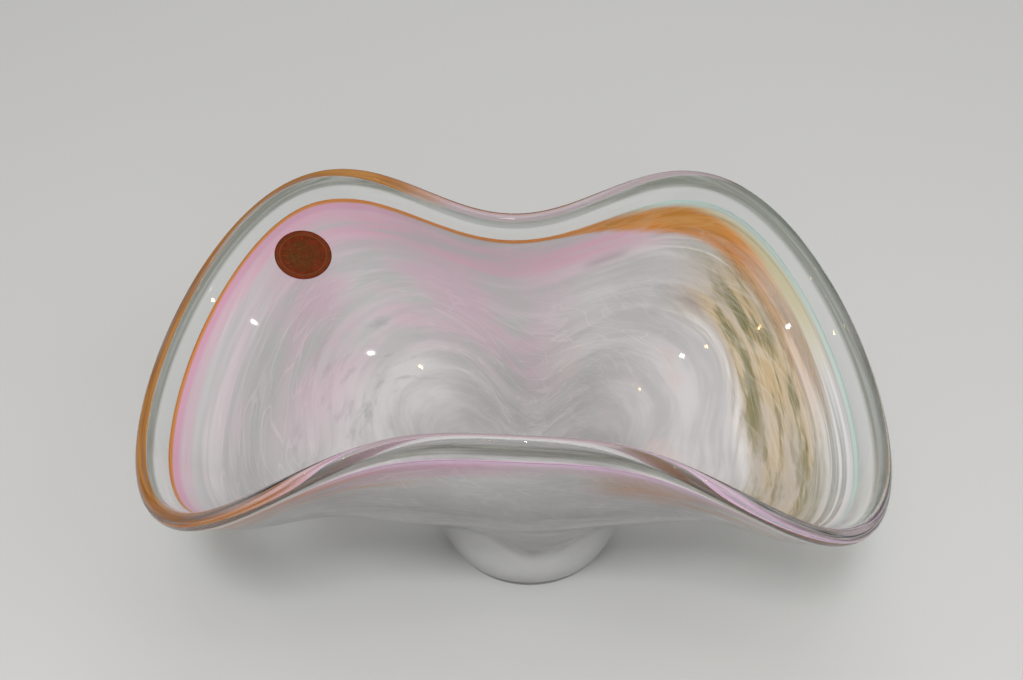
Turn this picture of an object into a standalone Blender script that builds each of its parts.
"""Free-blown "handkerchief" art glass bowl, built as the layers a glassblower gathers.

Frame: metres, +Z up, origin at the centre of the ground foot, +X along the long way of the bowl,
+Y towards the back wall that carries the foil label.  Every layer is a normal offset of one middle
surface, so neighbouring layers run parallel with a small gap between them.
"""
import bpy
import bmesh
import numpy as np
from mathutils import Vector
from mathutils.bvhtree import BVHTree

for old in list(bpy.data.objects):
    bpy.data.objects.remove(old, do_unlink=True)

MM = 0.001

# --- driving dimensions (mm, degrees) ---------------------------------------------------------
LIP_HALF_LENGTH = 165.0          # half the length of the lip's centre line along X
LIP_OFFSET_X = -6.7              # the lip sits slightly to the left of the foot
LIP_SQUARE_X = (0.105, 0.014)    # third and fifth harmonics that fill out the four lobes
LIP_Y = (108.2, 40.7, 6.05)      # first, third and fifth harmonics: lobes out, waist pinched in
LIP_Z = (115.7, -29.8, -15.0)    # mean height, end-to-side swing, four-lobe swing
LIP_TILT = (-0.9, -3.5, 1.9, 1.8)    # hand-made lean: front/back, left/right, back waist, twist
FOOT_R = 31.5                    # foot radius on the middle surface
STEM = ((36.5, 9.0), (43.0, 26.0))   # radius and height of the two points that shape the stem
SHOULDER_R, SHOULDER_Z, SHOULDER_LIFT = 50.0, 53.0, 4.0
RISE_END, RISE_SIDE = 3.0, 48.0  # slope of the wall just past the shoulder, ends and sides
LIP_END, LIP_SIDE = 30.0, 95.0   # slope of the wall at the lip, ends and sides
REACH_LOW, REACH_HIGH = 0.38, 0.30   # how far each slope carries along the wall

HALF_WALL = 3.0                  # the wall is 6 mm of glass
GAP = 0.3                        # working gap between neighbouring pieces
LINER = 1.8                      # thickness of the coloured inner layer
BEAD_R, BEAD_DEPTH = 3.2, 4.0    # fire-polished lip bead
COLOUR_EDGE, EDGE_SWING = 13.9, 0.6      # lip to the upper edge of the colour, and its swing to the ends
THREAD_W, BAND_W, AMBER_W = 1.2, 6.0, 17.0
AMBER_MID, AMBER_SPREAD = 42.0, 34.0     # where the amber band is widest, and how fast it narrows
AMBER_FROM, AMBER_TO = -5, 16    # first and last angular step of the amber band
FOOT_H, FLOOR_Z = 5.0, 12.0      # foot pad height, underside of the coloured floor
LABEL_AT, LABEL_DOWN = 146.0, 34.6       # label centre: angle, distance below the lip
LABEL_W, LABEL_H, LABEL_T = 27.5, 22.5, 0.2
LABEL_LEAN = -36.0                       # the label was pressed on a little askew

STEPS = 64                       # angular steps round the bowl
ROWS = 9                         # rows up the wall below the bands
BAND_ROWS = 3                    # rows across the edge bands
FINE = 200                       # samples along one wall profile


# --- middle surface ---------------------------------------------------------------------------
def lip(tau):
    """Centre line of the lip at angle tau."""
    a3, a5 = LIP_SQUARE_X
    swing = (1 - a3 - a5) * np.cos(tau) + a3 * np.cos(3 * tau) + a5 * np.cos(5 * tau)
    x = LIP_OFFSET_X + LIP_HALF_LENGTH * swing
    y = sum(b * np.sin(k * tau) for b, k in zip(LIP_Y, (1, 3, 5)))
    z = sum(h * np.cos(k * tau) for h, k in zip(LIP_Z, (0, 2, 4)))
    z += LIP_TILT[0] * np.sin(tau) + LIP_TILT[1] * np.cos(tau)
    z += LIP_TILT[2] * np.sin(3 * tau) + LIP_TILT[3] * np.sin(2 * tau)
    return np.array([x, y, z])


def spline_basis(points, count):
    """Clamped cubic B-spline weights, one row per sample."""
    knots = np.concatenate([np.zeros(3), np.arange(points - 2), np.full(3, points - 3)])
    t = np.linspace(0, points - 3 - 1e-9, count)[:, None]
    basis = ((t >= knots[:-1]) & (t < knots[1:])).astype(float)
    for degree in (1, 2, 3):
        grown = np.zeros((count, basis.shape[1] - 1))
        for i in range(grown.shape[1]):
            left, right = knots[i + degree] - knots[i], knots[i + degree + 1] - knots[i + 1]
            if left > 0:
                grown[:, i] += (t[:, 0] - knots[i]) / left * basis[:, i]
            if right > 0:
                grown[:, i] += (knots[i + degree + 1] - t[:, 0]) / right * basis[:, i + 1]
        basis = grown
    return basis


WEIGHTS = spline_basis(7, FINE)


def profile(tau):
    """Middle-surface curve from the foot ring to the lip at angle tau, with its arc length."""
    c, s = np.cos(tau), np.sin(tau)
    side = s * s
    top = lip(tau)
    along = lip(tau + 1e-4) - top
    along /= np.linalg.norm(along)
    flat = np.array([along[1], -along[0], 0.0])
    flat /= np.linalg.norm(flat)
    a = np.radians(LIP_END + (LIP_SIDE - LIP_END) * side)
    b = np.radians(RISE_END + (RISE_SIDE - RISE_END) * side)
    leave = flat * np.cos(a) + np.array([0, 0, np.sin(a)])
    leave -= along * (leave @ along)
    leave /= np.linalg.norm(leave)
    rise = np.array([c * np.cos(b), s * np.cos(b), np.sin(b)])
    ring = [np.array([r * c, r * s, z]) for r, z in
            ((FOOT_R, 0.0),) + STEM + ((SHOULDER_R, SHOULDER_Z + SHOULDER_LIFT * side),)]
    reach = np.linalg.norm(top - ring[3])
    frame = ring + [ring[3] + rise * reach * REACH_LOW, top - leave * reach * REACH_HIGH, top]
    curve = WEIGHTS @ np.array(frame)
    arc = np.concatenate([[0], np.cumsum(np.linalg.norm(np.diff(curve, axis=0), axis=1))])
    return curve, arc


def wall_point(tau, down, offset):
    """Point `down` mm below the lip along the wall, `offset` mm towards the outside."""
    def middle(angle, d):
        curve, arc = profile(angle)
        return np.array([np.interp(arc[-1] - d, arc, curve[:, k]) for k in range(3)])
    here = middle(tau, down)
    around = middle(tau + 0.01, down) - middle(tau - 0.01, down)
    up = middle(tau, down - 0.8) - middle(tau, down + 0.8)
    if down < 0.8:
        up = here - middle(tau, down + 0.8)
    out = np.cross(around, up)
    return here + out / np.linalg.norm(out) * offset


TAU = np.arange(STEPS) * 2 * np.pi / STEPS
LENGTH = np.array([profile(t)[1][-1] for t in TAU])
STEM_TOP = 22.0                  # arc length from the foot to the ring where the floor begins
BASE_ARC = 5.6                   # arc length from the foot to the casing's underside


def colour_top(tau):
    """Distance below the lip where the colour starts: a little lower at the two ends."""
    return COLOUR_EDGE + EDGE_SWING * np.cos(2 * tau)


def band_bottom(tau):
    """Distance below the lip where the coloured edge bands end."""
    turn = (np.degrees(tau) - AMBER_MID + 180) % 360 - 180
    return colour_top(tau) + THREAD_W + GAP + BAND_W + AMBER_W * np.exp(-(turn / AMBER_SPREAD) ** 2)


def band_row(i, k):
    """Distance below the lip of row k of the edge bands at angular step i."""
    top = tops[i % STEPS] + THREAD_W + GAP
    return top + (bottoms[i % STEPS] - top) * k / BAND_ROWS


def ring_at(down, offset, steps=range(STEPS)):
    """One ring of wall points; down is a number or a function of the step index."""
    return np.array([wall_point(TAU[i % STEPS], down(i % STEPS) if callable(down) else down, offset)
                     for i in steps])


def wall_rings(top_down, bottom_arc, offset, rows):
    """Rings from the arc length `bottom_arc` above the foot up to `top_down(i)` below the lip."""
    rings = []
    for j in range(rows + 1):
        f = j / rows
        rings.append(ring_at(lambda i: (LENGTH[i] - bottom_arc) * (1 - f) + top_down(i) * f, offset))
    return rings


def floor_rings(ring, depth_z, count):
    """Elliptic floor that closes a ring, from the middle outwards, without the ring itself."""
    rings = []
    for k in range(count, 0, -1):
        a = k / (count + 1) * np.pi / 2
        lower = ring * np.array([np.cos(a), np.cos(a), 1.0])
        lower[:, 2] = depth_z + (ring[:, 2] - depth_z) * (1 - np.sin(a))
        rings.append(lower)
    return rings


# --- mesh helpers -----------------------------------------------------------------------------
def quad(low_here, low_next, high_next, high_here):
    """Two triangles whose diagonal always climbs to the next angular step, so layers stay parallel."""
    return [(low_here, low_next, high_next), (low_here, high_next, high_here)]


def closed_body(name, rings, start=None, end=None, wrap=False, colour=(1, 1, 1, 1), glass=False):
    """Skin rings into one closed body; start and end are pole points, wrap joins last to first."""
    n = len(rings[0])
    verts = [Vector(p) * MM for ring in rings for p in ring]
    height = [ring[:, 2].mean() for ring in rings]
    faces = []
    spans = list(zip(range(len(rings)), range(1, len(rings)))) + ([(len(rings) - 1, 0)] if wrap else [])
    for a, b in spans:
        low, high = (a, b) if height[a] <= height[b] else (b, a)
        for i in range(n):
            j = (i + 1) % n
            faces += quad(low * n + i, low * n + j, high * n + j, high * n + i)
    for pole, ring in ((start, 0), (end, len(rings) - 1)):
        if pole is not None:
            verts.append(Vector(pole) * MM)
            faces += [(len(verts) - 1, ring * n + i, ring * n + (i + 1) % n) for i in range(n)]
    return finish(name, verts, faces, colour, glass)


def strip_body(name, columns, colour):
    """Skin closed cross-sections, laid one after another, into a body with two flat ends."""
    m, last = len(columns[0]), len(columns) - 1
    verts = [Vector(p) * MM for column in columns for p in column]
    height = np.array(columns)[:, :, 2].mean(axis=0)
    faces = []
    for i in range(last):
        for j in range(m):
            k = (j + 1) % m
            low, high = (j, k) if height[j] <= height[k] else (k, j)
            faces += quad(i * m + low, (i + 1) * m + low, (i + 1) * m + high, i * m + high)
    for base in (0, last * m):
        for j in range(m // 2 - 1):
            faces += quad(base + j, base + j + 1, base + m - 2 - j, base + m - 1 - j)
    return finish(name, verts, faces, colour, False)


def finish(name, verts, faces, colour, glass):
    mesh = bpy.data.meshes.new(name)
    mesh.from_pydata(verts, [], faces)
    mesh.validate()
    bm = bmesh.new()
    bm.from_mesh(mesh)
    bmesh.ops.recalc_face_normals(bm, faces=bm.faces)
    if bm.calc_volume(signed=True) < 0:
        bmesh.ops.reverse_faces(bm, faces=bm.faces)
    for face in bm.faces:
        face.smooth = True
    bm.to_mesh(mesh)
    bm.free()
    mesh.update()
    node = bpy.data.objects.new(name, mesh)
    bpy.context.scene.collection.objects.link(node)
    material = bpy.data.materials.new(name)
    material.use_nodes = True
    shader = material.node_tree.nodes["Principled BSDF"]
    shader.inputs["Base Color"].default_value = colour
    shader.inputs["Roughness"].default_value = 0.05
    if glass:
        shader.inputs["Transmission Weight"].default_value = 1.0
        shader.inputs["IOR"].default_value = 1.5
    mesh.materials.append(material)
    return node


# --- clear crystal casing: the outer gather, full thickness above the colour --------------------
INSIDE = -HALF_WALL
UNDER = INSIDE + LINER + GAP          # casing surface that faces the colour
tops = np.array([colour_top(t) for t in TAU])
bottoms = np.array([band_bottom(t) for t in TAU])


def edge(i):
    """Distance below the lip where the casing steps in to full wall thickness."""
    return tops[i] - GAP


def band_rings(offset):
    """Casing rings behind the edge bands, from the lower rows up."""
    return [ring_at(lambda i: band_row(i, k), offset) for k in range(BAND_ROWS - 1, 0, -1)]


outer = wall_rings(lambda i: bottoms[i] + GAP / 2, STEM_TOP, HALF_WALL, ROWS)
base = ring_at(lambda i: LENGTH[i] - BASE_ARC, HALF_WALL)
base[:, 2] = FOOT_H + GAP
outer = [base] + outer + band_rings(HALF_WALL) + [ring_at(edge, HALF_WALL), ring_at(BEAD_DEPTH, HALF_WALL)]
inner = wall_rings(lambda i: bottoms[i] + GAP / 2, STEM_TOP, UNDER, ROWS)
inner = floor_rings(inner[0], FLOOR_Z, 3) + inner + band_rings(UNDER)
step = [ring_at(edge, UNDER), ring_at(edge, INSIDE), ring_at(BEAD_DEPTH, INSIDE)]
closed_body("clear_casing", outer + (inner + step)[::-1], start=(0, 0, FOOT_H + GAP),
            end=(0, 0, FLOOR_Z), colour=(0.95, 0.97, 0.97, 1), glass=True)

# --- opal liner: the swirled white inner layer --------------------------------------------------
OUT = UNDER - GAP
skin_out = wall_rings(lambda i: bottoms[i] + GAP, STEM_TOP, OUT, ROWS)
skin_in = wall_rings(lambda i: bottoms[i] + GAP, STEM_TOP, INSIDE, ROWS)
skin_out = floor_rings(skin_out[0], FLOOR_Z + GAP, 3) + skin_out
skin_in = floor_rings(skin_in[0], FLOOR_Z + GAP + LINER, 3) + skin_in
liner = closed_body("opal_liner", skin_out + skin_in[::-1], start=(0, 0, FLOOR_Z + GAP),
                    end=(0, 0, FLOOR_Z + GAP + LINER), colour=(0.80, 0.77, 0.80, 1))


# --- coloured bands below the lip ---------------------------------------------------------------
def band_section(i):
    """Cross-section of an edge band at one angular step, down the outside and up the inside."""
    downs = [band_row(i, k) for k in range(BAND_ROWS + 1)]
    tau = TAU[i % STEPS]
    return np.array([wall_point(tau, d, OUT) for d in downs]
                    + [wall_point(tau, d, INSIDE) for d in downs[::-1]])


def band(name, first, last, colour):
    """Band between two angular steps, each end held back by half the working gap."""
    columns = [band_section(i) for i in range(first, last + 1)]
    for at, toward in ((0, 1), (-1, -2)):
        span = np.linalg.norm(columns[toward] - columns[at], axis=1).mean()
        columns[at] = columns[at] + (columns[toward] - columns[at]) * (0.6 * GAP / span)
    strip_body(name, columns, colour)


band("amber_band", AMBER_FROM, AMBER_TO, (0.72, 0.34, 0.07, 1))
band("pink_band", AMBER_TO, STEPS + AMBER_FROM, (0.78, 0.42, 0.52, 1))


def thread_low(i):
    """Distance below the lip of the thread's lower edge."""
    return tops[i] + THREAD_W


def thread_top(i):
    """Distance below the lip of the thread's upper edge."""
    return tops[i]


closed_body("edge_thread", [ring_at(thread_top, OUT), ring_at(thread_low, OUT),
                            ring_at(thread_low, INSIDE), ring_at(thread_top, INSIDE)],
            wrap=True, colour=(0.80, 0.28, 0.06, 1))

# --- rolled rim: the clear fire-polished bead ---------------------------------------------------
BEAD_FACETS = 6
seat = BEAD_DEPTH - GAP
bead = [ring_at(seat, HALF_WALL)]
core, crown = ring_at(BEAD_R, 0.0), ring_at(0.0, 0.0)
outward = ring_at(BEAD_R, 1.0) - core
upward = (crown - core) / np.linalg.norm(crown - core, axis=1)[:, None]
for k in range(BEAD_FACETS + 1):
    a = np.pi * k / BEAD_FACETS
    bead.append(core + BEAD_R * (outward * np.cos(a) + upward * np.sin(a)))
bead.append(ring_at(seat, INSIDE))
closed_body("rolled_rim", bead, wrap=True, colour=(0.95, 0.97, 0.97, 1), glass=True)

# --- foot pad with a ground and polished flat ---------------------------------------------------
turn = np.column_stack([np.cos(TAU), np.sin(TAU), np.zeros(STEPS)])
foot_r = FOOT_R + HALF_WALL


def foot_ring(radius, z):
    return turn * radius + np.array([0, 0, z])


closed_body("foot_pad", [foot_ring(foot_r - 1.0, 0.0), foot_ring(foot_r, 1.0),
                         foot_ring(foot_r + 1.0, FOOT_H * 0.6), foot_ring(foot_r + 1.7, FOOT_H)],
            start=(0, 0, 0), end=(0, 0, FOOT_H), colour=(0.85, 0.87, 0.88, 1), glass=True)

# --- foil label, pressed on the inside of the back left wall ------------------------------------
tree = BVHTree.FromPolygons([v.co[:] for v in liner.data.vertices],
                            [p.vertices[:] for p in liner.data.polygons])
at = np.radians(LABEL_AT)
centre = wall_point(at, LABEL_DOWN, INSIDE)
normal = centre - wall_point(at, LABEL_DOWN, INSIDE - 1.0)
across = np.cross(normal, wall_point(at, LABEL_DOWN - 5, INSIDE) - centre)
across /= np.linalg.norm(across)
rise = np.cross(across, normal)
lean = np.radians(LABEL_LEAN)
across, rise = across * np.cos(lean) + rise * np.sin(lean), rise * np.cos(lean) - across * np.sin(lean)


def label_ring(scale, offset, count=28):
    """Oval ring of the label laid on the liner, offset towards the inside of the bowl."""
    ring = []
    for k in range(count):
        a = 2 * np.pi * k / count
        p = centre + scale * (across * np.cos(a) * LABEL_W / 2 + rise * np.sin(a) * LABEL_H / 2)
        hit = tree.ray_cast(Vector((p - normal * 12) * MM), Vector(normal))[0]
        ring.append(np.array(hit) / MM - normal * offset)
    return np.array(ring)


sizes = (0.34, 0.68, 1.0)
under = [label_ring(s, GAP) for s in sizes]
over = [label_ring(s, GAP + LABEL_T) for s in sizes]
closed_body("foil_label", under + over[::-1], start=label_ring(0, GAP)[0],
            end=label_ring(0, GAP + LABEL_T)[0], colour=(0.45, 0.16, 0.06, 1))

print("pieces", sorted(o.name for o in bpy.data.objects),
      "triangles", sum(len(o.data.polygons) for o in bpy.data.objects))
